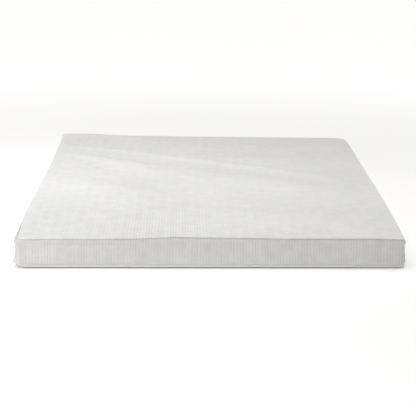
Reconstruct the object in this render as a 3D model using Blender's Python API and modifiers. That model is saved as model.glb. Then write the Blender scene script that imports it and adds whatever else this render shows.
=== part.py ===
"""A queen size mattress topper: a filled slab in a sewn knit cover, lying flat.

Metres, +Z up. The origin is under the middle of the slab, on the plane that it lies on.
-Y is the foot end and +Y the head end. The pieces, from the bottom up:

bottom_panel   flat under-cloth that the topper lies on
bottom_welt    narrow roll of the bottom seam, all round the lower edge
filled_band    the filled slab, whose sides are the side band of the cover
top_panel      knit cloth over the top, with its soft folds, rolled down to the top seam
"""

import math

import bmesh
import bpy
import numpy as np

# Driving dimensions of the whole slab
WIDTH = 1.532
LENGTH = 2.036
SEAM_HEIGHT = 0.1180
GAP = 0.0004

# Cloths, edges and corners
PANEL_THICKNESS = 0.0026
EDGE_ROLL = 0.0050
SEAM_SKIRT = 0.0015
CROWN = 0.0045
CROWN_POWER = 6
TOP_CORNER_RADIUS = 0.020
BOTTOM_CORNER_RADIUS = 0.046
BOTTOM_CORNER_RADIUS_RIGHT = 0.024
CORNER_GROWS_FROM = 0.030
CORNER_SEGMENTS = 5
ROLL_SEGMENTS = 3

# Under-cloth and the roll of its seam
UNDER_THICKNESS = 0.0020
UNDER_INSET = 0.0095
WELT_HALF_WIDTH = 0.0026
WELT_HALF_HEIGHT = 0.0056
WELT_CENTRE_HEIGHT = 0.0102
WELT_TOP = 0.0162
WELT_INSET = 0.0010
WELT_SIDES = 10

# Spacing of the mesh lines across the flat faces, and how near two places count as one
LINE_SPACING = 0.100
EDGE_LINE_INSET = 0.060
SNAP = 1e-5

# Side band, from the lower seam to the upper one: height, and how far it stands out of the plan outline
BAND_PROFILE = (
    (0.0024, -0.0105),
    (0.0036, -0.0095),
    (0.0046, -0.0047),
    (WELT_TOP, -0.0047),
    (0.0168, -0.0010),
    (0.0195, 0.0018),
    (0.0300, 0.0026),
    (0.0540, 0.0016),
    (0.0800, 0.0006),
    (0.0960, 0.0006),
    (0.1070, 0.0006),
    (0.1125, 0.0000),
    (0.1157, -0.0012),
    (0.1173, -0.0032),
)

# Where the side band swells: place x, y, reach, height, half height, how far out
BAND_SWELLS = (
    (-0.766, -1.000, 0.110, 0.027, 0.014, 0.0080),
    (-0.766, -0.960, 0.140, 0.106, 0.0062, 0.0055),
    (0.766, -1.018, 0.045, 0.105, 0.0066, 0.0050),
    (0.766, -1.018, 0.070, 0.020, 0.008, 0.0015),
)

# How the long sides wander in plan: place along the length, left side out, right side out
SIDE_WANDER = (
    (-1.018, -0.0030, -0.0010),
    (-0.900, -0.0010, -0.0005),
    (-0.740, 0.0065, 0.0012),
    (-0.600, 0.0080, 0.0024),
    (-0.490, 0.0048, 0.0032),
    (-0.150, -0.0008, 0.0026),
    (0.120, -0.0020, -0.0010),
    (0.400, -0.0045, -0.0015),
    (0.700, -0.0025, -0.0030),
    (1.018, 0.0000, -0.0070),
)

# How far the upper seam is drawn in on the long sides: place along the length, left side in, right side in
SEAM_DRAW_IN = (
    (-1.018, 0.0105, 0.0028),
    (-0.940, 0.0085, 0.0012),
    (-0.800, 0.0075, 0.0000),
    (-0.660, 0.0045, 0.0000),
    (-0.450, 0.0020, 0.0000),
    (-0.200, 0.0000, 0.0000),
    (1.018, 0.0000, 0.0000),
)
DRAW_IN_FROM = 0.096
DRAW_IN_TO = 0.1170

# How the upper seam rises and dips: place across the width, height added there
FOOT_SEAM_WAVE = (
    (-0.766, -0.0010),
    (-0.620, 0.0010),
    (-0.440, 0.0010),
    (-0.310, 0.0020),
    (-0.130, 0.0086),
    (0.060, 0.0056),
    (0.350, 0.0022),
    (0.600, 0.0024),
    (0.710, 0.0006),
    (0.766, -0.0025),
)
HEAD_SEAM_WAVE = (
    (-0.766, 0.0145),
    (-0.640, 0.0140),
    (-0.400, 0.0040),
    (0.000, -0.0020),
    (0.450, -0.0055),
    (0.700, -0.0070),
    (0.766, -0.0130),
)

# How far the waves reach in from the foot and head edges and the folds fade at the long sides,
# and the odd power that fades the sides' wander
WAVE_REACH = 0.24
FOLD_REACH = 0.025
SIDE_FADE = 3

# Soft folds of the top cloth: start x, start y, end x, end y, height, half width at start, half width at end
FOLDS = (
    (-0.745, 0.780, 0.580, 0.015, 0.0095, 0.044, 0.072),
    (-0.760, 0.605, -0.220, 0.165, 0.0095, 0.045, 0.120),
    (-0.450, 0.280, 0.700, -0.350, 0.0130, 0.190, 0.190),
    (-0.800, 0.085, -0.120, -0.445, 0.0095, 0.130, 0.170),
    (-0.200, -0.490, 0.450, -0.800, 0.0040, 0.100, 0.120),
)
FOLD_LINES = (-1.0, -0.5, 0.0, 0.5, 1.0)

HALF_WIDTH = WIDTH / 2
HALF_LENGTH = LENGTH / 2
TOP_EDGE_HEIGHT = SEAM_HEIGHT + SEAM_SKIRT + EDGE_ROLL
SLAB_INSET = PANEL_THICKNESS + GAP


def smooth_table(table, place, column):
    """The table's value at a place, eased from row to row."""
    places = [row[0] for row in table]
    place = min(max(place, places[0]), places[-1])
    after = next(i for i, p in enumerate(places) if place <= p)
    before = max(after - 1, 0)
    span = places[after] - places[before]
    share = (place - places[before]) / span if span else 0.0
    share = share * share * (3 - 2 * share)
    return table[before][column] * (1 - share) + table[after][column] * share


def seam_wave(x, y):
    """Height that the upper seam's waves add, strongest at the foot and head edges."""
    from_foot = max(0.0, 1 - (y + HALF_LENGTH) / WAVE_REACH)
    from_head = max(0.0, 1 - (HALF_LENGTH - y) / WAVE_REACH)
    return (
        smooth_table(FOOT_SEAM_WAVE, x, 1) * min(from_foot, 1.0) ** 2
        + smooth_table(HEAD_SEAM_WAVE, x, 1) * min(from_head, 1.0) ** 2
    )


def crown(x, y):
    """Height of the filled middle over the edges."""
    across = 1 - min(abs(x) / HALF_WIDTH, 1.0) ** CROWN_POWER
    along = 1 - min(abs(y) / HALF_LENGTH, 1.0) ** CROWN_POWER
    return CROWN * across * along


def fold_height(x, y):
    """Height of the soft folds of the top cloth, which fade out at both of their ends."""
    total = 0.0
    for x0, y0, x1, y1, height, half_start, half_end in FOLDS:
        run_x, run_y = x1 - x0, y1 - y0
        share = ((x - x0) * run_x + (y - y0) * run_y) / (run_x**2 + run_y**2)
        away = abs((x - x0) * run_y - (y - y0) * run_x) / math.hypot(run_x, run_y)
        if not 0 < share < 1:
            continue
        half = half_start + (half_end - half_start) * share
        if away < half:
            total += height * math.sin(math.pi * share) ** 0.6 * math.cos(math.pi * away / half / 2) ** 2
    return total


def upper_lift(x, y):
    """Everything that raises the top of the slab over the height of its edge."""
    from_side = min(max((HALF_WIDTH - abs(x)) / FOLD_REACH, 0.0), 1.0)
    return seam_wave(x, y) + crown(x, y) + fold_height(x, y) * from_side


def core_point(x, y, radius):
    """The nearest point to x, y on the rectangle that the plan's corner arcs are centred on."""
    limit_x, limit_y = HALF_WIDTH - radius, HALF_LENGTH - radius
    return min(max(x, -limit_x), limit_x), min(max(y, -limit_y), limit_y)


def pushed_out(x, y, distance):
    """A point of the plan outline moved square to it, outwards."""
    centre_x, centre_y = core_point(x, y, TOP_CORNER_RADIUS)
    out_x, out_y = x - centre_x, y - centre_y
    length = math.hypot(out_x, out_y)
    return x + out_x / length * distance, y + out_y / length * distance


def wider_corner(x, y, radius):
    """A point of a corner's small arc moved to the arc of a larger radius that has the same tangents."""
    centre_x, centre_y = core_point(x, y, TOP_CORNER_RADIUS)
    past_x = abs(centre_x) > HALF_WIDTH - TOP_CORNER_RADIUS - SNAP
    past_y = abs(centre_y) > HALF_LENGTH - TOP_CORNER_RADIUS - SNAP
    if not (past_x and past_y):
        return x, y
    out_x, out_y = x - centre_x, y - centre_y
    reach = math.hypot(out_x, out_y)
    grown = reach + radius - TOP_CORNER_RADIUS
    new_x = math.copysign(HALF_WIDTH - radius, x) + out_x / reach * grown
    new_y = math.copysign(HALF_LENGTH - radius, y) + out_y / reach * grown
    return new_x, new_y


def side_place(x, y, height):
    """The x of a point, moved with the wander and the upper seam of the long side that it is nearer to."""
    column = 1 if x < 0 else 2
    upper = min(max((height - DRAW_IN_FROM) / (DRAW_IN_TO - DRAW_IN_FROM), 0.0), 1.0)
    outward = smooth_table(SIDE_WANDER, y, column) - smooth_table(SEAM_DRAW_IN, y, column) * upper**2
    return x + outward * (x / HALF_WIDTH) ** SIDE_FADE


def corner_radius_at(x, height):
    """The plan radius of a corner of the nearer side, which grows near the lower seam."""
    share = min(max((CORNER_GROWS_FROM - height) / (CORNER_GROWS_FROM - WELT_TOP), 0.0), 1.0)
    lower = BOTTOM_CORNER_RADIUS_RIGHT if x > 0 else BOTTOM_CORNER_RADIUS
    return TOP_CORNER_RADIUS + (lower - TOP_CORNER_RADIUS) * share**2


def band_swell(x, y, height):
    """How far the side band swells out at a point over the roll of the lower seam."""
    total = 0.0
    if height < WELT_TOP + SNAP:
        return total
    for centre_x, centre_y, reach, middle, half, out in BAND_SWELLS:
        away = math.hypot(x - centre_x, y - centre_y) / reach
        total += out * math.exp(-(away**2) - ((height - middle) / half) ** 2)
    return total


def clear_scene():
    """Takes away what the file holds at the start."""
    for obj in list(bpy.data.objects):
        bpy.data.objects.remove(obj)


def cloth_material(name, colour, roughness):
    """A plain Principled material for one cloth."""
    material = bpy.data.materials.new(name)
    material.use_nodes = True
    shader = material.node_tree.nodes["Principled BSDF"]
    shader.inputs["Base Color"].default_value = (*colour, 1.0)
    shader.inputs["Roughness"].default_value = roughness
    shader.inputs["Metallic"].default_value = 0.0
    return material


def finished(name, bm, material, collection):
    """Turns a bmesh into a named object of the topper."""
    mesh = bpy.data.meshes.new(name)
    bm.to_mesh(mesh)
    bm.free()
    mesh.materials.append(material)
    obj = bpy.data.objects.new(name, mesh)
    collection.objects.link(obj)
    return obj


def spaced(half):
    """Places of the mesh lines across one direction of the slab."""
    inner = half - EDGE_LINE_INSET
    count = round(2 * inner / LINE_SPACING)
    return [-inner + 2 * inner * i / count for i in range(count + 1)]


def cut(bm, faces, point, normal):
    """Cuts the given faces along a plane."""
    edges = {edge for face in faces for edge in face.edges}
    verts = {vert for face in faces for vert in face.verts}
    geometry = [*verts, *edges, *faces]
    bmesh.ops.bisect_plane(bm, geom=geometry, dist=SNAP / 10, plane_co=point, plane_no=normal)


def near_fold(face, fold):
    """Whether an upward face lies beside a fold."""
    x0, y0, x1, y1, _, half_start, half_end = fold
    centre = face.calc_center_median()
    run_x, run_y = x1 - x0, y1 - y0
    share = ((centre.x - x0) * run_x + (centre.y - y0) * run_y) / (run_x**2 + run_y**2)
    away = abs((centre.x - x0) * run_y - (centre.y - y0) * run_x) / math.hypot(run_x, run_y)
    return face.normal.z > 0.9 and -0.05 < share < 1.05 and away < max(half_start, half_end) + LINE_SPACING


def cut_grid(bm, heights=()):
    """Cuts all but the underside along the mesh lines, the folds of the top cloth and the given heights."""
    planes = [((x, 0, 0), (1, 0, 0)) for x in spaced(HALF_WIDTH)]
    planes += [((0, y, 0), (0, 1, 0)) for y in spaced(HALF_LENGTH)]
    planes += [((0, 0, height), (0, 0, 1)) for height in heights]
    for point, normal in planes:
        cut(bm, [face for face in bm.faces if face.normal.z > -0.5], point, normal)
    for fold in FOLDS:
        x0, y0, x1, y1, _, half_start, half_end = fold
        length = math.hypot(x1 - x0, y1 - y0)
        across = np.array([-(y1 - y0), x1 - x0]) / length
        for line in FOLD_LINES:
            # The lines beside a fold spread as it widens, so each has its own direction.
            start = np.array([x0, y0]) + across * half_start * line
            end = np.array([x1, y1]) + across * half_end * line
            side = end - start
            beside = [face for face in bm.faces if near_fold(face, fold)]
            cut(bm, beside, (*start, 0), (-side[1], side[0], 0))
    bmesh.ops.dissolve_degenerate(bm, dist=SNAP, edges=bm.edges[:])


def rounded_block(inset, bottom, top, roll):
    """A box primitive with rounded upright corners and a rolled upper edge."""
    bm = bmesh.new()
    bmesh.ops.create_cube(bm, size=1.0)
    for vert in bm.verts:
        vert.co.x *= WIDTH - 2 * inset
        vert.co.y *= LENGTH - 2 * inset
        vert.co.z = top if vert.co.z > 0 else bottom
    upright = [edge for edge in bm.edges if abs(edge.verts[0].co.z - edge.verts[1].co.z) > SNAP]
    radius = TOP_CORNER_RADIUS - inset
    bmesh.ops.bevel(bm, geom=upright, offset=radius, segments=CORNER_SEGMENTS, profile=0.5, affect="EDGES")
    rim = [edge for edge in bm.edges if all(vert.co.z > top - SNAP for vert in edge.verts)]
    bmesh.ops.bevel(bm, geom=rim, offset=roll, segments=ROLL_SEGMENTS, profile=0.5, affect="EDGES")
    return bm


def make_top_panel(material, collection):
    """The knit top: a sheet over the crown and its folds, rolled down to the upper seam."""
    bm = rounded_block(0.0, SEAM_HEIGHT, TOP_EDGE_HEIGHT, EDGE_ROLL)
    under = [face for face in bm.faces if face.normal.z < -0.9]
    bmesh.ops.delete(bm, geom=under, context="FACES_ONLY")
    cut_grid(bm)
    bmesh.ops.triangulate(bm, faces=bm.faces[:])
    for vert in bm.verts:
        lift = upper_lift(vert.co.x, vert.co.y)
        vert.co.x = side_place(vert.co.x, vert.co.y, SEAM_HEIGHT)
        vert.co.z += lift
    panel = finished("top_panel", bm, material, collection)
    sheet = panel.modifiers.new("Cloth thickness", "SOLIDIFY")
    sheet.thickness = PANEL_THICKNESS
    sheet.offset = -1.0
    sheet.use_even_offset = True


def make_filled_band(material, collection):
    """The filled slab: crowned under the top panel, with the side band's drawn-in and bulging profile."""
    top = TOP_EDGE_HEIGHT - SLAB_INSET
    lowest, highest = BAND_PROFILE[0][0], BAND_PROFILE[-1][0]
    bm = rounded_block(SLAB_INSET, lowest, top, EDGE_ROLL - SLAB_INSET)
    cut_grid(bm, [height for height, _ in BAND_PROFILE[1:]])
    bmesh.ops.triangulate(bm, faces=bm.faces[:])
    for vert in bm.verts:
        x, y, height = vert.co
        lift = upper_lift(x, y)
        if height < highest + SNAP:
            stand_out = next(out for row, out in BAND_PROFILE if abs(row - height) < SNAP)
            x, y = pushed_out(x, y, SLAB_INSET + stand_out + band_swell(x, y, height))
            x, y = wider_corner(x, y, corner_radius_at(x, height))
            lift = seam_wave(x, y) * max(0.0, height - WELT_TOP) / (highest - WELT_TOP)
        vert.co = (side_place(x, y, height), y, height + lift)
    finished("filled_band", bm, material, collection)


def lower_outline(out):
    """Points round the slab at the height of its lower seam, as far out of the plan outline as given."""
    reach_x, reach_y = HALF_WIDTH - TOP_CORNER_RADIUS, HALF_LENGTH - TOP_CORNER_RADIUS
    points = []
    for turn, (sign_x, sign_y) in enumerate(((1, 1), (-1, 1), (-1, -1), (1, -1))):
        for step in range(CORNER_SEGMENTS + 1):
            angle = math.pi / 2 * (turn + step / CORNER_SEGMENTS)
            arc_x = TOP_CORNER_RADIUS * math.cos(angle)
            arc_y = TOP_CORNER_RADIUS * math.sin(angle)
            points.append((sign_x * reach_x + arc_x, sign_y * reach_y + arc_y))
        if turn % 2:
            points += [(sign_x * HALF_WIDTH, -y * sign_y) for y in spaced(HALF_LENGTH)]
        else:
            points += [(-x * sign_y, sign_y * HALF_LENGTH) for x in spaced(HALF_WIDTH)]
    pushed = [pushed_out(x, y, out) for x, y in points]
    rounded = [wider_corner(x, y, corner_radius_at(x, 0.0)) for x, y in pushed]
    return [(side_place(x, y, 0.0), y) for x, y in rounded]


def closed_curve(name, points, height, material, collection):
    """A closed curve through the points, raised to a height."""
    curve = bpy.data.curves.new(name, "CURVE")
    spline = curve.splines.new("POLY")
    spline.points.add(len(points) - 1)
    for point, (x, y) in zip(spline.points, points):
        point.co = (x, y, 0.0, 1.0)
    spline.use_cyclic_u = True
    curve.materials.append(material)
    obj = bpy.data.objects.new(name, curve)
    obj.location.z = height
    collection.objects.link(obj)
    return obj


def make_bottom_panel(material, collection):
    """The flat under-cloth: a filled outline with the cloth's thickness."""
    points = lower_outline(-UNDER_INSET)
    panel = closed_curve("bottom_panel", points, UNDER_THICKNESS / 2, material, collection)
    panel.data.dimensions = "2D"
    panel.data.fill_mode = "BOTH"
    panel.data.extrude = UNDER_THICKNESS / 2


def make_bottom_welt(material, collection, guides):
    """The roll of the bottom seam: an upright oval swept round the lower edge."""
    section = bpy.data.curves.new("welt_section", "CURVE")
    ring = section.splines.new("POLY")
    ring.points.add(WELT_SIDES - 1)
    for i, point in enumerate(ring.points):
        angle = -2 * math.pi * (i + 0.5) / WELT_SIDES
        point.co = (WELT_HALF_WIDTH * math.cos(angle), WELT_HALF_HEIGHT * math.sin(angle), 0.0, 1.0)
    ring.use_cyclic_u = True
    guide = bpy.data.objects.new("welt_section", section)
    guide.hide_render = True
    guides.objects.link(guide)
    points = lower_outline(-WELT_INSET)
    welt = closed_curve("bottom_welt", points, WELT_CENTRE_HEIGHT, material, collection)
    welt.data.dimensions = "3D"
    welt.data.twist_mode = "Z_UP"
    welt.data.bevel_mode = "OBJECT"
    welt.data.bevel_object = guide


def main():
    """Builds the topper's four pieces."""
    clear_scene()
    topper = bpy.data.collections.new("mattress_topper")
    guides = bpy.data.collections.new("guides")
    for collection in (topper, guides):
        bpy.context.scene.collection.children.link(collection)
    top_knit = cloth_material("top_knit", (0.83, 0.83, 0.82), 0.85)
    band_knit = cloth_material("band_knit", (0.80, 0.79, 0.78), 0.88)
    under_cloth = cloth_material("under_cloth", (0.78, 0.77, 0.76), 0.90)
    welt_cloth = cloth_material("welt_cloth", (0.82, 0.81, 0.80), 0.85)
    make_bottom_panel(under_cloth, topper)
    make_bottom_welt(welt_cloth, topper, guides)
    make_filled_band(band_knit, topper)
    make_top_panel(top_knit, topper)


main()
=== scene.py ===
"""The finished look of a queen size mattress topper, lying flat on a plain pale floor.

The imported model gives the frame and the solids. Each solid is replaced by a finely made piece that
holds the same space: a ribbed knit top over soft folds, a ribbed side band round the filling, a folded
tape at the lower seam, and a plain under-cloth. Rows of stitches follow both seams.

The piece stands in metres, +Z up, with its foot end towards -Y.
"""

from __future__ import annotations

import logging
import math
from collections.abc import Sequence
from dataclasses import dataclass, field
from enum import Enum
from typing import Any

import bpy
import numpy as np
from mathutils import Matrix, Vector

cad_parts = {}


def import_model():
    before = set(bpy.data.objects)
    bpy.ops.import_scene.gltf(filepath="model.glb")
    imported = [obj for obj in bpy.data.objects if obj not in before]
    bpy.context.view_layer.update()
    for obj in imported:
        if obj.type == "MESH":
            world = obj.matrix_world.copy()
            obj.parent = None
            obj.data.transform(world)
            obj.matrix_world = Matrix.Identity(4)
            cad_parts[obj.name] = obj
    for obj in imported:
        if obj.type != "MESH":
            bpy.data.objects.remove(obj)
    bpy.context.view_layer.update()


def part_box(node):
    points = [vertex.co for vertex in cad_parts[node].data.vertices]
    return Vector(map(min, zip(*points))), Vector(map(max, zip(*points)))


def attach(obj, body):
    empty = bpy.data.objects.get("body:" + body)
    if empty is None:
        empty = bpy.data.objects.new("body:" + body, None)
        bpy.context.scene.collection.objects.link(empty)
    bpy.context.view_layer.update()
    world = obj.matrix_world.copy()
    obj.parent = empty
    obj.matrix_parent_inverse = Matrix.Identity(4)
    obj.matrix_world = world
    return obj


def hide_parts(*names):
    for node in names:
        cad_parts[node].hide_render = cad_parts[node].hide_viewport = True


LOG = logging.getLogger("topper")
BODY = "root"
CLOTH_MAP = "cloth"
RIB_COUNT = "rib_count"
RIB_STRENGTH = "rib_strength"
# Painted shade: how far a point's colour is darkened for the shade inside a seam or its recess.
PAINTED_SEAM_SHADE = "seam_shade"
QUARTER_TURN = math.pi / 2
# A noise keeps near 0.5, so its difference from that is multiplied by this.
NOISE_GAIN = 4.0

Pair = tuple[float, float]
Triple = tuple[float, float, float]


class Node(Enum):
    """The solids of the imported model, by name."""

    TOP = "top_panel"
    BAND = "filled_band"
    UNDER = "bottom_panel"
    WELT = "bottom_welt"


class Slot(Enum):
    """The record's material slots."""

    TOP_KNIT = "top_knit"
    BAND_KNIT = "band_knit"
    UNDER_CLOTH = "under_cloth"
    WELT_CLOTH = "welt_cloth"


class Hold(Enum):
    """How a sheet of cloth is held."""

    LAID = "laid"
    STRETCHED = "stretched"


# --- Node trees ---


class Wire:
    """An output socket on which arithmetic adds Math nodes."""

    def __init__(self, sheet: NodeSheet, socket: bpy.types.NodeSocket) -> None:
        """Wraps an output socket of a tree."""
        self.sheet, self.socket = sheet, socket

    def __add__(self, other: Wire | float) -> Wire:
        """Adds a value."""
        return self.sheet.math("ADD", self, other)

    def __radd__(self, other: float) -> Wire:
        """Adds this to a value."""
        return self.sheet.math("ADD", other, self)

    def __sub__(self, other: Wire | float) -> Wire:
        """Takes a value away."""
        return self.sheet.math("SUBTRACT", self, other)

    def __rsub__(self, other: float) -> Wire:
        """Takes this away from a value."""
        return self.sheet.math("SUBTRACT", other, self)

    def __mul__(self, other: Wire | float) -> Wire:
        """Multiplies by a value."""
        return self.sheet.math("MULTIPLY", self, other)

    def __rmul__(self, other: float) -> Wire:
        """Multiplies a value by this."""
        return self.sheet.math("MULTIPLY", other, self)

    def __truediv__(self, other: Wire | float) -> Wire:
        """Divides by a value."""
        return self.sheet.math("DIVIDE", self, other)

    def __rtruediv__(self, other: float) -> Wire:
        """Divides a value by this."""
        return self.sheet.math("DIVIDE", other, self)


@dataclass(frozen=True)
class Noise:
    """A seeded noise: its features to the metre, which one it is, and its octaves."""

    scale: Wire | float
    seed: Wire | float
    detail: float = 2.0


class NodeSheet:
    """A shader or geometry tree that is being filled in."""

    def __init__(self, tree: bpy.types.NodeTree) -> None:
        """Starts on a tree."""
        self.tree = tree

    def add(
        self, kind: str, settings: dict[str, Any] | None = None, sockets: dict[str | int, Any] | None = None
    ) -> bpy.types.Node:
        """Adds one node.

        Args:
            kind: The node's type.
            settings: The node's own properties, set before its sockets.
            sockets: Values or wires of its input sockets, by name or place.

        Returns:
            The node.
        """
        node = self.tree.nodes.new(kind)
        for name, value in (settings or {}).items():
            setattr(node, name, value)
        for key, value in (sockets or {}).items():
            if isinstance(value, Wire):
                self.tree.links.new(value.socket, node.inputs[key])
            else:
                node.inputs[key].default_value = value
        return node

    def wire(
        self,
        kind: str,
        settings: dict[str, Any] | None = None,
        sockets: dict[str | int, Any] | None = None,
        key: str | int = 0,
    ) -> Wire:
        """Adds one node and gives one of its outputs, by name or place."""
        return Wire(self, self.add(kind, settings, sockets).outputs[key])

    def math(self, operation: str, *values: Wire | float) -> Wire:
        """Adds a Math node with its inputs in order."""
        return self.wire("ShaderNodeMath", {"operation": operation}, dict(enumerate(values)))

    def smooth(self, value: Wire, low: Wire | float, high: Wire | float) -> Wire:
        """Eases a value from 0 at low to 1 at high."""
        settings = {"interpolation_type": "SMOOTHSTEP"}
        return self.wire("ShaderNodeMapRange", settings, {0: value, 1: low, 2: high})

    def noise(self, place: Wire, noise: Noise) -> Wire:
        """Reads a noise, which is about 0 to 1, at a place."""
        sockets = {"Vector": place, "W": noise.seed, "Scale": noise.scale, "Detail": noise.detail}
        return self.wire("ShaderNodeTexNoise", {"noise_dimensions": "4D"}, sockets)

    def mix_colour(self, share: Wire, first: Wire | Triple, second: Triple) -> Wire:
        """Mixes a colour into another.

        Args:
            share: 0 for the first colour and 1 for the second.
            first: The first colour.
            second: The second colour.

        Returns:
            The mixed colour.
        """
        start = first if isinstance(first, Wire) else (*first, 1.0)
        sockets = {"Factor": share, "A": start, "B": (*second, 1.0)}
        node = self.add("ShaderNodeMix", {"data_type": "RGBA"}, sockets)
        return Wire(self, next(out for out in node.outputs if out.type == "RGBA"))


@dataclass(frozen=True)
class GeometryRecipe:
    """A geometry tree with named inputs, run on an object and turned into a plain mesh."""

    name: str
    tree: bpy.types.NodeTree
    numbers: tuple[str, ...]

    def apply(
        self,
        obj: bpy.types.Object,
        sizes: RibSizes | SeamTape | StitchRow,
        seed: float,
        material: bpy.types.Material,
    ) -> None:
        """Runs the tree on an object and keeps its result as the object's mesh.

        Args:
            obj: The mesh object to change.
            sizes: What holds the tree's numbers, in fields of the same names.
            seed: Which of the tree's random results it is.
            material: The result's material.
        """
        values = {label: getattr(sizes, label.lower().replace(" ", "_")) for label in self.numbers}
        values |= {"Seed": seed, "Material": material}
        modifier = obj.modifiers.new(self.name, "NODES")
        modifier.node_group = self.tree
        for item in self.tree.interface.items_tree:
            if item.item_type == "SOCKET" and item.in_out == "INPUT" and item.name in values:
                modifier[item.identifier] = values[item.name]
        obj.update_tag()
        bpy.context.view_layer.update()
        graph = bpy.context.evaluated_depsgraph_get()
        made = bpy.data.meshes.new_from_object(obj.evaluated_get(graph), depsgraph=graph)
        obj.modifiers.clear()
        old, obj.data = obj.data, made
        made.name = obj.name
        bpy.data.meshes.remove(old)


class GeometrySheet(NodeSheet):
    """A geometry tree whose inputs are a mesh, numbers, a seed and a material."""

    def __init__(self, name: str, numbers: tuple[str, ...], seed_kind: str = "NodeSocketFloat") -> None:
        """Makes the tree.

        Args:
            name: The tree's name.
            numbers: The names of its numbers.
            seed_kind: The kind of its seed.
        """
        tree = bpy.data.node_groups.new(name, "GeometryNodeTree")
        kinds = {"Geometry": "NodeSocketGeometry", **dict.fromkeys(numbers, "NodeSocketFloat")}
        kinds |= {"Seed": seed_kind, "Material": "NodeSocketMaterial"}
        for label, kind in kinds.items():
            tree.interface.new_socket(label, in_out="INPUT", socket_type=kind)
        tree.interface.new_socket("Geometry", in_out="OUTPUT", socket_type="NodeSocketGeometry")
        super().__init__(tree)
        self.name, self.numbers = name, numbers
        self.given = self.add("NodeGroupInput")

    def input(self, label: str) -> Wire:
        """Gives a named input as a wire."""
        return Wire(self, self.given.outputs[label])

    def mark(self, name: str) -> Wire:
        """Reads a number that the mesh's points carry."""
        kind = "GeometryNodeInputNamedAttribute"
        return self.wire(kind, {"data_type": "FLOAT"}, {"Name": name}, "Attribute")

    def place(self) -> Wire:
        """Gives the points' places."""
        return self.wire("GeometryNodeInputPosition")

    def line(self) -> Wire:
        """Reads the given mesh as a line."""
        return self.wire("GeometryNodeMeshToCurve", sockets={"Mesh": self.input("Geometry")})

    def push_out(self, geometry: Wire, distance: Wire) -> Wire:
        """Moves points along their normals.

        Args:
            geometry: What the points are part of.
            distance: How far each point moves.

        Returns:
            The moved geometry.
        """
        outwards = {0: self.wire("GeometryNodeInputNormal"), "Scale": distance}
        offset = self.wire("ShaderNodeVectorMath", {"operation": "SCALE"}, outwards)
        return self.wire("GeometryNodeSetPosition", sockets={"Geometry": geometry, "Offset": offset})

    def finish(self, geometry: Wire) -> GeometryRecipe:
        """Realizes the instances, sets the material and closes the tree.

        Args:
            geometry: What the tree made.

        Returns:
            The tree, ready to be applied.
        """
        real = self.wire("GeometryNodeRealizeInstances", sockets={"Geometry": geometry})
        smooth = self.wire("GeometryNodeSetShadeSmooth", sockets={"Geometry": real})
        sockets = {"Geometry": smooth, "Material": self.input("Material")}
        self.add("NodeGroupOutput", sockets={0: self.wire("GeometryNodeSetMaterial", sockets=sockets)})
        return GeometryRecipe(self.name, self.tree, self.numbers)


GROOVE_INPUTS = ("Groove Width", "Side Groove Place", "Side Groove Depth", "Middle Groove Depth")
# A rib stands this share of its height over the cloth's middle face, and a groove cuts the rest into it.
RIB_TOP = 0.6
STITCH_BALL = {"Segments": 6, "Rings": 4, "Radius": 0.5}
FOLD_POINTS = 3


def groove_depth(sheet: NodeSheet, count: Wire, sizes: Sequence[Wire | float]) -> Wire:
    """Gives the depth of the grooves of one repeat: a main one, one on each side of it, and a faint one.

    Args:
        sheet: The tree to add to.
        count: Repeats of the pattern, counted across the cloth.
        sizes: How far a groove reaches to each side and how far the side grooves are from the main
            one, as shares of the repeat, and the depths of the side and the faint grooves next to it.

    Returns:
        The depth, 0 on a rib and 1 in the main groove.
    """
    width, side_place, side_depth, middle_depth = sizes
    away = sheet.math("PINGPONG", count, 0.5)
    main = 1 - sheet.smooth(away, 0.0, width)
    side = 1 - sheet.smooth(sheet.math("ABSOLUTE", away - side_place), 0.0, width)
    middle = 1 - sheet.smooth(0.5 - away, 0.0, width)
    return main + side * side_depth + middle * middle_depth


def rib_recipe() -> GeometryRecipe:
    """Makes the tree that raises knitted ribs on a mesh whose points carry their rib count.

    Returns:
        The tree, with its sizes as named inputs.
    """
    sheet = GeometrySheet("Knit ribs", ("Rib Height", *GROOVE_INPUTS, "Unevenness", "Patches Per Metre"))
    depth = groove_depth(sheet, sheet.mark(RIB_COUNT), [sheet.input(name) for name in GROOVE_INPUTS])
    patches = sheet.noise(sheet.place(), Noise(sheet.input("Patches Per Metre"), sheet.input("Seed")))
    uneven = 1 + sheet.input("Unevenness") * ((patches - 0.5) * NOISE_GAIN)
    raised = (RIB_TOP - depth) * sheet.input("Rib Height") * (sheet.mark(RIB_STRENGTH) * uneven)
    return sheet.finish(sheet.push_out(sheet.input("Geometry"), raised))


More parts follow.
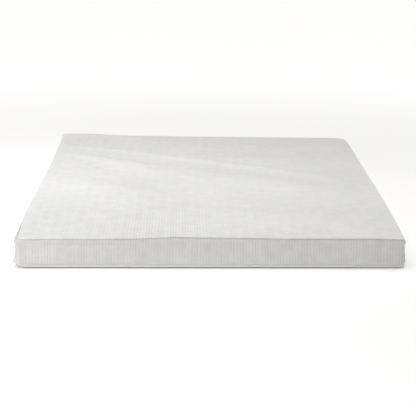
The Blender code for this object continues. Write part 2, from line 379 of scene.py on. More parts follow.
def stitch_recipe() -> GeometryRecipe:
    """Makes the tree that sews a row of stitches along a closed line.

    Returns:
        The tree, with its sizes as named inputs.
    """
    numbers = ("Stitch Length", "Thread Thickness", "Stitch Pitch", "Unevenness")
    sheet = GeometrySheet("Stitch row", numbers, seed_kind="NodeSocketInt")
    length, thickness, pitch, spread = (sheet.input(name) for name in numbers)
    evenly = {"Curve": sheet.line(), "Length": pitch}
    places = sheet.wire("GeometryNodeResampleCurve", {"mode": "LENGTH"}, evenly)
    ball = sheet.wire("GeometryNodeMeshUVSphere", sockets=STITCH_BALL, key="Mesh")
    size = sheet.wire("ShaderNodeCombineXYZ", sockets={0: length, 1: thickness, 2: thickness})
    stitch = sheet.wire("GeometryNodeTransform", sockets={"Geometry": ball, "Scale": size})
    along = sheet.wire("GeometryNodeInputTangent")
    turn = sheet.wire("FunctionNodeAlignRotationToVector", {"axis": "X"}, {"Vector": along})
    limits = {"Min": 1 - spread, "Max": 1 + spread, "Seed": sheet.input("Seed")}
    grown = sheet.add("FunctionNodeRandomValue", {"data_type": "FLOAT"}, limits)
    growth = Wire(sheet, next(out for out in grown.outputs if out.enabled and out.type == "VALUE"))
    scale = sheet.wire("ShaderNodeCombineXYZ", sockets={0: growth, 1: 1.0, 2: 1.0})
    sockets = {"Points": places, "Instance": stitch, "Rotation": turn, "Scale": scale}
    return sheet.finish(sheet.wire("GeometryNodeInstanceOnPoints", sockets=sockets))


def tape_recipe() -> GeometryRecipe:
    """Makes the tree that folds a tape along a closed line.

    Returns:
        The tree, with its sizes as named inputs.
    """
    numbers = ("Tape Thickness", "Tape Height", "Fold Radius", "Pucker Height", "Puckers Per Metre")
    sheet = GeometrySheet("Folded tape", numbers)
    thickness, height, radius, pucker_height, puckers_per_metre = (sheet.input(name) for name in numbers)
    upright = sheet.wire("GeometryNodeSetCurveNormal", {"mode": "Z_UP"}, {"Curve": sheet.line()})
    sizes = {"Width": thickness, "Height": height}
    section = sheet.wire("GeometryNodeCurvePrimitiveQuadrilateral", {"mode": "RECTANGLE"}, sizes)
    fold = {"Curve": section, "Radius": radius, "Count": FOLD_POINTS, "Limit Radius": True}
    rounded = sheet.wire("GeometryNodeFilletCurve", {"mode": "POLY"}, fold)
    tape = sheet.wire("GeometryNodeCurveToMesh", sockets={"Curve": upright, "Profile Curve": rounded})
    puckers = sheet.noise(sheet.place(), Noise(puckers_per_metre, sheet.input("Seed"), detail=1.0))
    return sheet.finish(sheet.push_out(tape, (puckers - 0.5) * pucker_height))


# --- Finishes ---

SPECULAR_LEVEL = 0.25
SHEEN_ROUGHNESS = 0.6


class ClothSheet(NodeSheet):
    """The tree of a matt material, with its Principled shader."""

    def __init__(self, name: str, roughness: float, sheen: float) -> None:
        """Starts the material.

        Args:
            name: The material's name.
            roughness: Its roughness all over.
            sheen: The weight of its soft sheen.
        """
        self.material = bpy.data.materials.new(name)
        self.material.use_nodes = True
        super().__init__(self.material.node_tree)
        self.shader = self.tree.nodes["Principled BSDF"]
        self.shader.inputs["Roughness"].default_value = roughness
        self.shader.inputs["Specular IOR Level"].default_value = SPECULAR_LEVEL
        self.shader.inputs["Sheen Weight"].default_value = sheen
        self.shader.inputs["Sheen Roughness"].default_value = SHEEN_ROUGHNESS
        self.solid = self.wire("ShaderNodeTexCoord", key="Object")

    def axes(self, vector: Wire) -> list[Wire]:
        """Splits a vector into its X, Y and Z."""
        return [Wire(self, out) for out in self.add("ShaderNodeSeparateXYZ", sockets={0: vector}).outputs]

    def mark(self, name: str) -> Wire:
        """Reads a number that the mesh's points carry."""
        return self.wire("ShaderNodeAttribute", {"attribute_name": name}, key="Fac")

    def swing(self, turns: Wire) -> Wire:
        """Gives a wave between 0 and 1 that repeats each turn."""
        return self.math("SINE", turns * math.tau) * 0.5 + 0.5

    def feed(self, socket: str, value: Wire) -> None:
        """Links a value to one of the shader's sockets."""
        self.tree.links.new(value.socket, self.shader.inputs[socket])

    def dress(self, cloth_colour: Wire, seam: Triple, relief: Wire, distance: float, strength: float) -> None:
        """Gives the shader a colour with painted shade mixed in inside the seams, and a relief.

        Args:
            cloth_colour: The colour away from the seams.
            seam: The colour of the painted shade inside a seam.
            relief: The relief's height.
            distance: How high the relief is, in metres.
            strength: How strongly it shows.
        """
        # Painted shade: the seam colour is mixed in as far as the points carry seam shade.
        self.feed("Base Color", self.mix_colour(self.mark(PAINTED_SEAM_SHADE), cloth_colour, seam))
        sockets = {"Strength": strength, "Distance": distance, "Height": relief}
        self.feed("Normal", self.wire("ShaderNodeBump", sockets=sockets))


@dataclass(frozen=True)
class RibSizes:
    """Sizes of a cloth's knitted ribs, in repeats of a group of narrow ribs and a broad one."""

    repeat: float = 0.048
    stations: int = 18
    rib_height: float = 0.0009
    groove_width: float = 0.056
    side_groove_place: float = 0.2120
    side_groove_depth: float = 0.88
    middle_groove_depth: float = 0.35
    unevenness: float = 1.1
    patches_per_metre: float = 40.0

    @property
    def station_pitch(self) -> float:
        """The distance between the mesh lines that carry the ribs."""
        return self.repeat / self.stations

    def grooves(self, width_share: float) -> tuple[float, ...]:
        """Gives the sizes of the grooves, with their width reduced to a share of it."""
        depths = (self.side_groove_depth, self.middle_groove_depth)
        return (self.groove_width * width_share, self.side_groove_place, *depths)


@dataclass(frozen=True)
class KnitFinish:
    """A double knit with broad ribs, fine stitch loops and faint cross courses."""

    name: str
    light: Triple
    dark: Triple
    ribs: RibSizes
    # The colour of the painted shade inside the seams.
    seam: Triple = (0.26, 0.255, 0.25)
    wale_width: float = 0.0019
    wale_power: float = 3.0
    course_height: float = 0.0015
    ladder_pitch: float = 0.0125
    fuzz: Noise = Noise(700.0, 3.0)
    patches: Noise = Noise(3.5, 11.0)
    mottle: Noise = Noise(22.0, 12.0, 4.0)
    breaks: Noise = Noise(55.0, 13.0)
    loop_height: float = 0.55
    ladder_height: float = 0.25
    fuzz_height: float = 0.35
    groove_share: float = 0.9
    # How far the grooves are darkened in colour, as painted shade.
    groove_painted_shade: float = 0.65
    wale_shade: float = 0.15
    patch_shade: float = 0.9
    fuzz_shade: float = 0.20
    even_shade: float = -0.25
    mottling: float = 0.60
    rib_mottling: float = 0.60
    relief: float = 0.00045
    relief_strength: float = 0.6
    roughness: float = 0.92
    sheen: float = 0.10

    def build(self) -> bpy.types.Material:
        """Makes the material, which follows the cloth map in metres.

        Returns:
            The material.
        """
        sheet = ClothSheet(self.name, self.roughness, self.sheen)
        across, along, _ = sheet.axes(sheet.wire("ShaderNodeUVMap", {"uv_map": CLOTH_MAP}))
        limb = sheet.math("PINGPONG", across / self.wale_width, 0.5) * 2
        wale = 1 - sheet.math("POWER", 1 - limb, self.wale_power)
        loops = sheet.swing(along / self.course_height + limb * 0.5)
        ladder = sheet.swing(along / self.ladder_pitch)
        fuzz = sheet.noise(sheet.solid, self.fuzz)
        relief = loops * wale * self.loop_height + ladder * self.ladder_height + fuzz * self.fuzz_height

        strength = sheet.mark(RIB_STRENGTH)
        broken = (sheet.noise(sheet.solid, self.breaks) - 0.5) * NOISE_GAIN + 1
        grooves = groove_depth(sheet, across / self.ribs.repeat, self.ribs.grooves(self.groove_share))
        mottle = sheet.noise(sheet.solid, self.mottle) - 0.5
        clouds = sheet.noise(sheet.solid, self.patches) * self.patch_shade + fuzz * self.fuzz_shade
        clouds = clouds + mottle * (self.mottling + strength * self.rib_mottling) + self.even_shade
        # The grooves get painted shade, broken up by a noise.
        shade = grooves * strength * broken * self.groove_painted_shade + (1 - wale) * self.wale_shade + clouds
        cloth_colour = sheet.mix_colour(shade, self.light, self.dark)
        sheet.dress(cloth_colour, self.seam, relief, self.relief, self.relief_strength)
        return sheet.material


@dataclass(frozen=True)
class WovenFinish:
    """A plain weave of warp and weft threads."""

    name: str
    light: Triple
    dark: Triple
    # The colour of the painted shade where points carry seam shade, as on the under-cloth's edge in the lower
    # seam's recess.
    seam: Triple = (0.16, 0.155, 0.15)
    thread_pitch: float = 0.0011
    fuzz: Noise = Noise(500.0, 5.0)
    weave_shade: float = 0.5
    fuzz_share: float = 0.4
    relief: float = 0.00025
    relief_strength: float = 0.5
    roughness: float = 0.9
    sheen: float = 0.06

    def build(self) -> bpy.types.Material:
        """Makes the material, which follows the object's own place.

        Returns:
            The material.
        """
        sheet = ClothSheet(self.name, self.roughness, self.sheen)
        x, y, z = sheet.axes(sheet.solid)
        turn = math.pi / self.thread_pitch
        warp, weft = (sheet.math("SINE", (place + z) * turn) for place in (x, y))
        weave = sheet.math("ABSOLUTE", warp * weft)
        fuzz = sheet.noise(sheet.solid, self.fuzz) * self.fuzz_share
        cloth_colour = sheet.mix_colour((1 - weave) * self.weave_shade + fuzz, self.light, self.dark)
        sheet.dress(cloth_colour, self.seam, weave + fuzz, self.relief, self.relief_strength)
        return sheet.material


@dataclass(frozen=True)
class ThreadFinish:
    """Twisted sewing thread."""

    name: str
    light: Triple
    dark: Triple
    twist_pitch: float = 0.0007
    twist_shade: float = 0.6
    roughness: float = 0.7
    sheen: float = 0.05

    def build(self) -> bpy.types.Material:
        """Makes the material, whose twist runs aslant.

        Returns:
            The material.
        """
        sheet = ClothSheet(self.name, self.roughness, self.sheen)
        x, y, z = sheet.axes(sheet.solid)
        twist = sheet.swing((x + y + z) / self.twist_pitch) * self.twist_shade
        sheet.feed("Base Color", sheet.mix_colour(twist, self.light, self.dark))
        return sheet.material


@dataclass(frozen=True)
class FloorFinish:
    """A plain pale studio floor, lit from within as a light table is, and less so near the topper as painted
    shade round it.
    """

    name: str
    light: Triple
    dark: Triple
    patches: Noise = Noise(1.3, 2.0)
    # Painted shade: the floor glows less near the topper than far from it.
    near_glow: Triple = (0.58, 0.58, 0.58)
    far_glow: Triple = (1.0, 1.0, 1.0)
    far_from: float = 1.6
    far_to: float = 4.0
    glow: float = 0.31
    roughness: float = 0.85

    def build(self) -> bpy.types.Material:
        """Makes the material.

        Returns:
            The material.
        """
        sheet = ClothSheet(self.name, self.roughness, sheen=0.0)
        sheet.shader.inputs["Emission Strength"].default_value = self.glow
        patches = sheet.noise(sheet.solid, self.patches)
        sheet.feed("Base Color", sheet.mix_colour(patches, self.light, self.dark))
        away = sheet.wire("ShaderNodeVectorMath", {"operation": "LENGTH"}, {0: sheet.solid}, "Value")
        far = sheet.smooth(away, self.far_from, self.far_to)
        sheet.feed("Emission Color", sheet.mix_colour(far, self.near_glow, self.far_glow))
        return sheet.material


# --- The slab's form ---


@dataclass(frozen=True)
class SideRow:
    """How far the long sides are moved at a place along the length."""

    place: float
    left: float
    right: float


@dataclass(frozen=True)
class RiseRow:
    """How much the upper seam is raised at a place across the width."""

    place: float
    rise: float


@dataclass(frozen=True)
class BandRow:
    """One row of the side band: its height, and how far it stands out of the plan outline."""

    height: float
    out: float


@dataclass(frozen=True)
class Fold:
    """A soft fold of the top cloth that fades out at both ends."""

    start: Pair
    end: Pair
    height: float
    half_at_start: float
    half_at_end: float
    end_power: float = 0.6


@dataclass(frozen=True)
class Bump:
    """A place where the side band swells."""

    centre: Pair
    reach: float
    height: float
    half_height: float
    out: float


@dataclass(frozen=True)
class Dent:
    """A shallow hollow in the top cloth."""

    centre: Pair
    reach: Pair
    turn: float
    depth: float


@dataclass(frozen=True)
class Hollow:
    """The painted shade of a stretch of the band that is drawn in under the upper seam."""

    start: float
    end: float
    amount: float
    heights: tuple[float, float, float, float]
    shares: tuple[float, float, float, float] = (0.0, 0.6, 1.0, 0.0)
    fade: float = 0.15

    def shade(self, x: np.ndarray, height: float) -> np.ndarray:
        """Gives the painted shade at places across the width, at a height."""
        ends = np.clip((x - self.start) / self.fade, 0, 1) * np.clip((self.end - x) / self.fade, 0, 1)
        return self.amount * float(np.interp(height, self.heights, self.shares)) * ends


@dataclass(frozen=True)
class Wave:
    """A sine wave over two measures: its size, its turn along each of them, and its start."""

    size: float
    first: float
    second: float
    start: float = 0.0


SIDE_WANDER = (
    SideRow(-1.018, -0.0030, -0.0010),
    SideRow(-0.900, -0.0010, -0.0005),
    SideRow(-0.740, 0.0065, 0.0012),
    SideRow(-0.600, 0.0080, 0.0024),
    SideRow(-0.490, 0.0048, 0.0032),
    SideRow(-0.150, -0.0008, 0.0026),
    SideRow(0.120, -0.0020, -0.0010),
    SideRow(0.400, -0.0045, -0.0015),
    SideRow(0.700, -0.0025, -0.0030),
    SideRow(1.018, 0.0000, -0.0070),
)
SEAM_DRAW_IN = (
    SideRow(-1.018, 0.0105, 0.0028),
    SideRow(-0.940, 0.0085, 0.0012),
    SideRow(-0.800, 0.0075, 0.0000),
    SideRow(-0.660, 0.0045, 0.0000),
    SideRow(-0.450, 0.0020, 0.0000),
    SideRow(-0.200, 0.0000, 0.0000),
    SideRow(1.018, 0.0000, 0.0000),
)
FOOT_SEAM_WAVE = (
    RiseRow(-0.766, -0.0010),
    RiseRow(-0.620, 0.0010),
    RiseRow(-0.440, 0.0010),
    RiseRow(-0.310, 0.0020),
    RiseRow(-0.130, 0.0086),
    RiseRow(0.060, 0.0056),
    RiseRow(0.350, 0.0022),
    RiseRow(0.600, 0.0024),
    RiseRow(0.710, 0.0006),
    RiseRow(0.766, -0.0025),
)
HEAD_SEAM_WAVE = (
    RiseRow(-0.766, 0.0165),
    RiseRow(-0.640, 0.0160),
    RiseRow(-0.400, 0.0060),
    RiseRow(0.000, 0.0000),
    RiseRow(0.450, -0.0035),
    RiseRow(0.700, -0.0050),
    RiseRow(0.766, -0.0110),
)
BUMPS = (
    Bump((-0.766, -1.000), 0.11, 0.0245, 0.0155, 0.0080),
    Bump((-0.766, -0.960), 0.14, 0.107, 0.0066, 0.0070),
    Bump((0.766, -1.018), 0.045, 0.105, 0.0070, 0.0050),
    Bump((0.766, -1.018), 0.070, 0.020, 0.008, 0.0015),
)
FOLDS = (
    Fold((-0.745, 0.780), (0.580, 0.015), 0.0095, 0.044, 0.072),
    Fold((-0.760, 0.605), (-0.220, 0.165), 0.0095, 0.045, 0.120),
    Fold((-0.450, 0.280), (0.700, -0.350), 0.0130, 0.190, 0.190),
    Fold((-0.800, 0.085), (-0.120, -0.445), 0.0095, 0.130, 0.170),
    Fold((-0.200, -0.490), (0.450, -0.800), 0.0040, 0.100, 0.120),
)
DENTS = (
    Dent((-0.30, -0.02), (0.22, 0.10), -0.45, 0.0012),
    Dent((-0.52, 0.12), (0.16, 0.09), -0.50, 0.0010),
    Dent((0.30, 0.55), (0.26, 0.12), -0.40, 0.0010),
    Dent((0.38, -0.40), (0.24, 0.13), 0.30, 0.0008),
    Dent((-0.45, -0.62), (0.20, 0.12), 0.25, 0.0008),
)
# Painted shade in the hollows under the upper seam, where the band faces along the length.
HOLLOWS = (
    Hollow(-0.77, -0.25, 0.120, (0.0880, 0.0960, 0.1050, 0.1110)),
    Hollow(-0.40, 0.60, 0.075, (0.0300, 0.0750, 0.1020, 0.1100)),
)
# Over places along a side and the side's distance from the middle.
LEAN_WAVES = (Wave(1.0, 5.1, 9.0), Wave(0.6, 11.3, -4.0))
# Over places across the width and along the length.
RIB_WAVES = (Wave(1.0, 3.1, 2.3, 0.6), Wave(0.6, -2.2, 5.7), Wave(0.35, 6.0, 11.0))
# Over the way round the band and the height.
BAND_WAVES = (Wave(1.0, 2.1, 30.0), Wave(0.7, 5.3, -55.0, 1.1))
WAY_ROUND = (7.0, 5.0)
FACING_POWER = 8
LEAST_HALF = 1e-6
# A face that spans more of the way round than this closes its ring.
NEARLY_ROUND = 0.9


def eased(rows: Sequence[Any], column: str, at: np.ndarray) -> np.ndarray:
    """Reads a table at places, eased from row to row.

    Args:
        rows: The table's rows, in order of their place.
        column: The column to read.
        at: The places.

    Returns:
        The values there.
    """
    places = np.array([row.place for row in rows])
    values = np.array([getattr(row, column) for row in rows])
    inside = np.clip(at, places[0], places[-1])
    after = np.clip(np.searchsorted(places, inside), 1, len(places) - 1)
    share = (inside - places[after - 1]) / (places[after] - places[after - 1])
    share = share * share * (3 - 2 * share)
    return values[after - 1] * (1 - share) + values[after] * share


def waved(waves: Sequence[Wave], first: np.ndarray, second: np.ndarray | float) -> np.ndarray:
    """Adds up waves over two measures."""
    return sum(wave.size * np.sin(first * wave.first + second * wave.second + wave.start) for wave in waves)


def facing(outward: np.ndarray, axis: int) -> np.ndarray:
    """Gives how squarely points face along an axis, which fades fast round a corner."""
    return np.abs(outward[:, axis]) ** FACING_POWER


@dataclass(frozen=True)
class SlabForm:
    """The space that the topper fills, as rules on points of its plan.

    In its methods x is places across the width, y is places along the length, and height is a height
    over the floor before the waves of the upper seam.
    """

    half_width: float
    half_length: float
    seam_height: float = 0.1180
    edge_roll: float = 0.0036
    seam_skirt: float = 0.0006
    crown_height: float = 0.0068
    crown_power: int = 6
    upper_radius: float = 0.020
    lower_radius: float = 0.046
    lower_radius_right: float = 0.024
    wave_reach: float = 0.24
    fold_reach: float = 0.025
    draw_in_from: float = 0.096
    draw_in_to: float = 0.1170
    # The painted shade in the upper seam at the left foot corner: its reach and fade along the side, its
    # least and most share, and its start and rise.
    drawn_reach: float = 0.30
    drawn_fade: float = 0.12
    drawn_least: float = 0.25
    drawn_most: float = 0.82
    drawn_from: float = 0.02
    drawn_over: float = 0.07
    welt_top: float = 0.0162
    corner_from: float = 0.030
    corner_power: int = 2

    @property
    def flat_half(self) -> np.ndarray:
        """Half the width and length of the top cloth's flat part."""
        return np.array([self.half_width, self.half_length]) - self.edge_roll

    @property
    def flat_corner(self) -> float:
        """The plan radius of the flat part's corners."""
        return self.upper_radius - self.edge_roll

    def up_share(self, height: float) -> float:
        """Gives how far up the band a height is, 0 at the tape and 1 at the upper seam."""
        return float(np.clip((height - self.welt_top) / (self.seam_height - self.welt_top), 0, 1))

    def seam_wave(self, x: np.ndarray, y: np.ndarray) -> np.ndarray:
        """Gives the rise of the upper seam.

        Args:
            x: Places across.
            y: Places along.

        Returns:
            The rise at each place.
        """
        from_foot = np.clip(1 - (y + self.half_length) / self.wave_reach, 0, 1)
        from_head = np.clip(1 - (self.half_length - y) / self.wave_reach, 0, 1)
        foot = eased(FOOT_SEAM_WAVE, "rise", x) * from_foot**2
        return foot + eased(HEAD_SEAM_WAVE, "rise", x) * from_head**2

    def crown(self, x: np.ndarray, y: np.ndarray) -> np.ndarray:
        """Gives the height of the filled middle over the edges.

        Args:
            x: Places across.
            y: Places along.

        Returns:
            The height at each place.
        """
        across = 1 - np.minimum(np.abs(x) / self.half_width, 1) ** self.crown_power
        along = 1 - np.minimum(np.abs(y) / self.half_length, 1) ** self.crown_power
        return self.crown_height * across * along

    @staticmethod
    def folds(x: np.ndarray, y: np.ndarray) -> np.ndarray:
        """Gives the height of the soft folds.

        Args:
            x: Places across.
            y: Places along.

        Returns:
            The height at each place.
        """
        total = np.zeros(np.broadcast(x, y).shape)
        for fold in FOLDS:
            run = np.subtract(fold.end, fold.start)
            dx, dy = x - fold.start[0], y - fold.start[1]
            share = (dx * run[0] + dy * run[1]) / (run @ run)
            away = np.abs(dx * run[1] - dy * run[0]) / math.sqrt(run @ run)
            half = fold.half_at_start + (fold.half_at_end - fold.half_at_start) * share
            inside = (share > 0) & (share < 1) & (away < half)
            along = np.sin(np.pi * np.clip(share, 0, 1)) ** fold.end_power
            across = np.cos(QUARTER_TURN * np.clip(away / np.maximum(half, LEAST_HALF), 0, 1)) ** 2
            total += np.where(inside, fold.height * along * across, 0)
        return total

    @staticmethod
    def dents(x: np.ndarray, y: np.ndarray) -> np.ndarray:
        """Gives the depth of the shallow hollows.

        Args:
            x: Places across.
            y: Places along.

        Returns:
            The depth at each place.
        """
        total = np.zeros(np.broadcast(x, y).shape)
        for dent in DENTS:
            dx, dy = x - dent.centre[0], y - dent.centre[1]
            along = (dx * math.cos(dent.turn) + dy * math.sin(dent.turn)) / dent.reach[0]
            across = (dy * math.cos(dent.turn) - dx * math.sin(dent.turn)) / dent.reach[1]
            total += dent.depth * np.exp(-(along**2 + across**2))
        return total

    def top_height(self, x: np.ndarray, y: np.ndarray, down: np.ndarray | float) -> np.ndarray:
        """Gives the height of a layer of the top.

        Args:
            x: Places across.
            y: Places along.
            down: How far the layer is under the outer face of the top cloth.

        Returns:
            The height at each place.
        """
        from_side = np.clip((self.half_width - np.abs(x)) / self.fold_reach, 0, 1)
        lift = self.seam_wave(x, y) + self.crown(x, y) + self.folds(x, y) * from_side
        return self.seam_height + self.seam_skirt + self.edge_roll - down + lift - self.dents(x, y)

    def side_place(self, x: np.ndarray, y: np.ndarray, height: float) -> np.ndarray:
        """Moves points with the wander and the upper seam of the nearer long side.

        Args:
            x: Places across.
            y: Places along.
            height: Their height.

        Returns:
            The new places across the width.
        """
        upper = np.clip((height - self.draw_in_from) / (self.draw_in_to - self.draw_in_from), 0, 1) ** 2
        left, right = (
            eased(SIDE_WANDER, side, y) - eased(SEAM_DRAW_IN, side, y) * upper for side in ("left", "right")
        )
        return x + np.where(x < 0, left, right) * (x / self.half_width) ** 3

    def corner_seam_painted_shade(self, x: np.ndarray, y: np.ndarray) -> np.ndarray:
        """Gives the painted shade in the upper seam next to the left foot corner, where the seam is drawn in.

        Args:
            x: Places across.
            y: Places along.

        Returns:
            Most behind the corner, fading out along the left side, and 0 on the right.
        """
        from_foot = y + self.half_length
        near = np.clip((self.drawn_reach - from_foot) / self.drawn_fade, 0, 1)
        clear = np.clip((from_foot - self.drawn_from) / self.drawn_over, self.drawn_least, self.drawn_most)
        return np.where(x < 0, near * clear, 0.0)

    def corner_radius(self, height: float, on_right: bool) -> float:
        """Gives the plan radius of a corner, which is larger at the lower seam.

        Args:
            height: The height.
            on_right: Whether the corner is on the right.

        Returns:
            The radius.
        """
        share = min(max((self.corner_from - height) / (self.corner_from - self.welt_top), 0.0), 1.0)
        lower = self.lower_radius_right if on_right else self.lower_radius
        return self.upper_radius + (lower - self.upper_radius) * share**self.corner_power


@dataclass(frozen=True)
class Side:
    """One side of the plan: the way along it, the way out, its half length and its distance."""

    ahead: np.ndarray
    out: np.ndarray
    half: float
    away: float


@dataclass(frozen=True)
class Walk:
    """A way round the slab, anticlockwise from the right side, with the same stations at every height."""

    form: SlabForm
    station_pitch: float

    def sides(self) -> list[Side]:
        """Gives the sides in the order of the walk.

        Returns:
            The right, head, left and foot sides.
        """
        wide, long = self.form.half_width, self.form.half_length
        ways = [np.array(way) for way in ((0.0, 1.0), (-1.0, 0.0), (0.0, -1.0), (1.0, 0.0))]
        sizes = ((long, wide), (wide, long)) * 2
        return [Side(ways[turn], ways[turn - 1], *sizes[turn]) for turn in range(4)]

    def steps(self, length: float) -> int:
        """Gives the number of stations along a length."""
        return max(1, round(length / self.station_pitch))

    def ring(self, out: float, height: float, slide: float) -> tuple[np.ndarray, np.ndarray]:
        """Lays one ring of stations in plan.

        Args:
            out: How far the ring stands out of the plan outline.
            height: Its height, which sets the radius of its corners.
            slide: How far stations slip along the sides, where the band leans.

        Returns:
            The stations' points and their outward directions.
        """
        widest, tightest = self.form.lower_radius, self.form.upper_radius
        points, outward = [], []
        for side in self.sides():
            reach = side.half - widest
            steps = self.steps(2 * reach)
            along = -reach + 2 * reach * np.arange(steps) / steps
            along = along + slide * waved(LEAN_WAVES, along, side.away) * (1 - (along / reach) ** 2)
            points.append(along[:, None] * side.ahead + side.out * side.away)
            outward.append(np.broadcast_to(side.out, (steps, 2)))
            radius = self.form.corner_radius(height, on_right=bool((side.ahead + side.out)[0] > 0))
            straight, arc = widest - radius, radius * QUARTER_TURN
            steps = self.steps(2 * (widest - tightest) + tightest * QUARTER_TURN)
            gone = (2 * straight + arc) * np.arange(steps) / steps
            angle = np.clip((gone - straight) / radius, 0, QUARTER_TURN)[:, None]
            direction = np.cos(angle) * side.out + np.sin(angle) * side.ahead
            before = np.minimum(gone - straight, 0)[:, None] * side.ahead
            after = np.maximum(gone - straight - arc, 0)[:, None] * side.out
            centre = side.ahead * (side.half - radius) + side.out * (side.away - radius)
            points.append(centre + direction * radius + before - after)
            outward.append(direction)
        laid, facing_out = np.concatenate(points), np.concatenate(outward)
        return laid + facing_out * out, facing_out

    def raised(self, out: float, height: float, slide: float = 0.0) -> tuple[np.ndarray, np.ndarray]:
        """Lays one ring in space, with the sides' wander and the seam's waves.

        Args:
            out: How far the ring stands out of the plan outline.
            height: Its height before the waves.
            slide: How far stations slip along the sides.

        Returns:
            The stations' points and their outward directions.
        """
        plan, outward = self.ring(out, height, slide)
        x, y = plan.T
        z = height + self.form.seam_wave(x, y) * self.form.up_share(height)
        return np.column_stack([self.form.side_place(x, y, height), y, z]), outward


# --- Meshes ---


def linked(obj: bpy.types.Object) -> bpy.types.Object:
    """Links an object to the scene and gives it back."""
    bpy.context.scene.collection.objects.link(obj)
    return obj


@dataclass
class MeshDraft:
    """Points and faces gathered before they become one mesh."""

    points: list[np.ndarray] = field(default_factory=list)
    cloth: list[np.ndarray] = field(default_factory=list)
    marks: dict[str, list[np.ndarray]] = field(
        default_factory=lambda: {name: [] for name in (RIB_COUNT, RIB_STRENGTH, PAINTED_SEAM_SHADE)}
    )
    faces: list[tuple[int, ...]] = field(default_factory=list)
    count: int = 0

    def place(
        self,
        points: np.ndarray,
        cloth: np.ndarray,
        ribs: np.ndarray | float = 0.0,
        strength: np.ndarray | float = 0.0,
        shade: np.ndarray | float = 0.0,
    ) -> np.ndarray:
        """Adds points.

        Args:
            points: Their places, n by 3.
            cloth: Their places on the cloth in metres, n by 2.
            ribs: Their rib counts.
            strength: How strongly their ribs are raised.
            shade: How much painted shade of a seam their colour takes.

        Returns:
            Their numbers in the mesh.
        """
        size = len(points)
        self.points.append(points)
        self.cloth.append(cloth)
        for parts, values in zip(self.marks.values(), (ribs, strength, shade)):
            parts.append(np.broadcast_to(values, size))
        self.count += size
        return np.arange(self.count - size, self.count)

    def bridge(self, rings: Sequence[np.ndarray], turned: bool = False) -> None:
        """Joins closed rings, which run anticlockwise from above, with quads.

        Args:
            rings: The rings in turn.
            turned: Whether the quads are turned round. Else they face outwards where the rings rise.
        """
        for first, second in zip(rings, rings[1:]):
            lower, upper = (second, first) if turned else (first, second)
            quads = np.stack([lower, np.roll(lower, -1), np.roll(upper, -1), upper], axis=1)
            self.faces += [tuple(quad) for quad in quads.tolist()]

    def fill(self, grid: np.ndarray, face_up: bool) -> None:
        """Fills a grid of points with quads.

        Args:
            grid: The points' numbers, by line across and row along.
            face_up: Whether the quads face up.
        """
        quads = np.stack([grid[:-1, :-1], grid[1:, :-1], grid[1:, 1:], grid[:-1, 1:]], axis=-1).reshape(-1, 4)
        self.faces += [tuple(quad) for quad in (quads if face_up else quads[:, ::-1]).tolist()]

    def build(self, name: str) -> bpy.types.Object:
        """Makes the mesh object and links it to the scene.

        Args:
            name: The object's name.

        Returns:
            The object.
        """
        mesh = bpy.data.meshes.new(name)
        mesh.from_pydata(np.concatenate(self.points).tolist(), [], self.faces)
        for label, parts in self.marks.items():
            layer = mesh.attributes.new(label, "FLOAT", "POINT")
            layer.data.foreach_set("value", np.concatenate(parts).astype(np.float32))
        corner_points = np.empty(len(mesh.loops), dtype=np.int32)
        mesh.loops.foreach_get("vertex_index", corner_points)
        corners = np.concatenate(self.cloth)[corner_points]
        layer = mesh.uv_layers.new(name=CLOTH_MAP)
        layer.data.foreach_set("uv", self._unwrapped(mesh, corners).astype(np.float32).ravel())
        mesh.shade_smooth()
        return linked(bpy.data.objects.new(name, mesh))

    def _unwrapped(self, mesh: bpy.types.Mesh, corners: np.ndarray) -> np.ndarray:
        """Carries the cloth map on over the face that closes each ring.

        Args:
            mesh: The mesh.
            corners: The cloth place of each face corner.

        Returns:
            The cloth places, with those past the end of the way round moved on by its length.
        """
        starts = np.empty(len(mesh.polygons), dtype=np.int32)
        mesh.polygons.foreach_get("loop_start", starts)
        across = corners[:, 0]
        widths = np.maximum.reduceat(across, starts) - np.minimum.reduceat(across, starts)
        length = across.max() - across.min()
        sizes = np.diff(np.append(starts, len(across)))
        closing = np.repeat(widths > NEARLY_ROUND * length, sizes) & (across < across.min() + length / 2)
        first_ring = self.cloth[0][:, 0]
        moved = corners.copy()
        moved[closing, 0] += length + float(first_ring[1] - first_ring[0])
        return moved


def drop_rib_count(obj: bpy.types.Object) -> None:
    """Takes the ribs' count off a finished piece, whose materials don't read it."""
    obj.data.attributes.remove(obj.data.attributes[RIB_COUNT])


def line_object(name: str, points: np.ndarray) -> bpy.types.Object:
    """Makes a closed line of mesh edges.

    Args:
        name: The object's name.
        points: The line's points.

    Returns:
        The object.
    """
    count = len(points)
    mesh = bpy.data.meshes.new(name)
    mesh.from_pydata(points.tolist(), [(i, (i + 1) % count) for i in range(count)], [])
    return linked(bpy.data.objects.new(name, mesh))


# --- The pieces ---


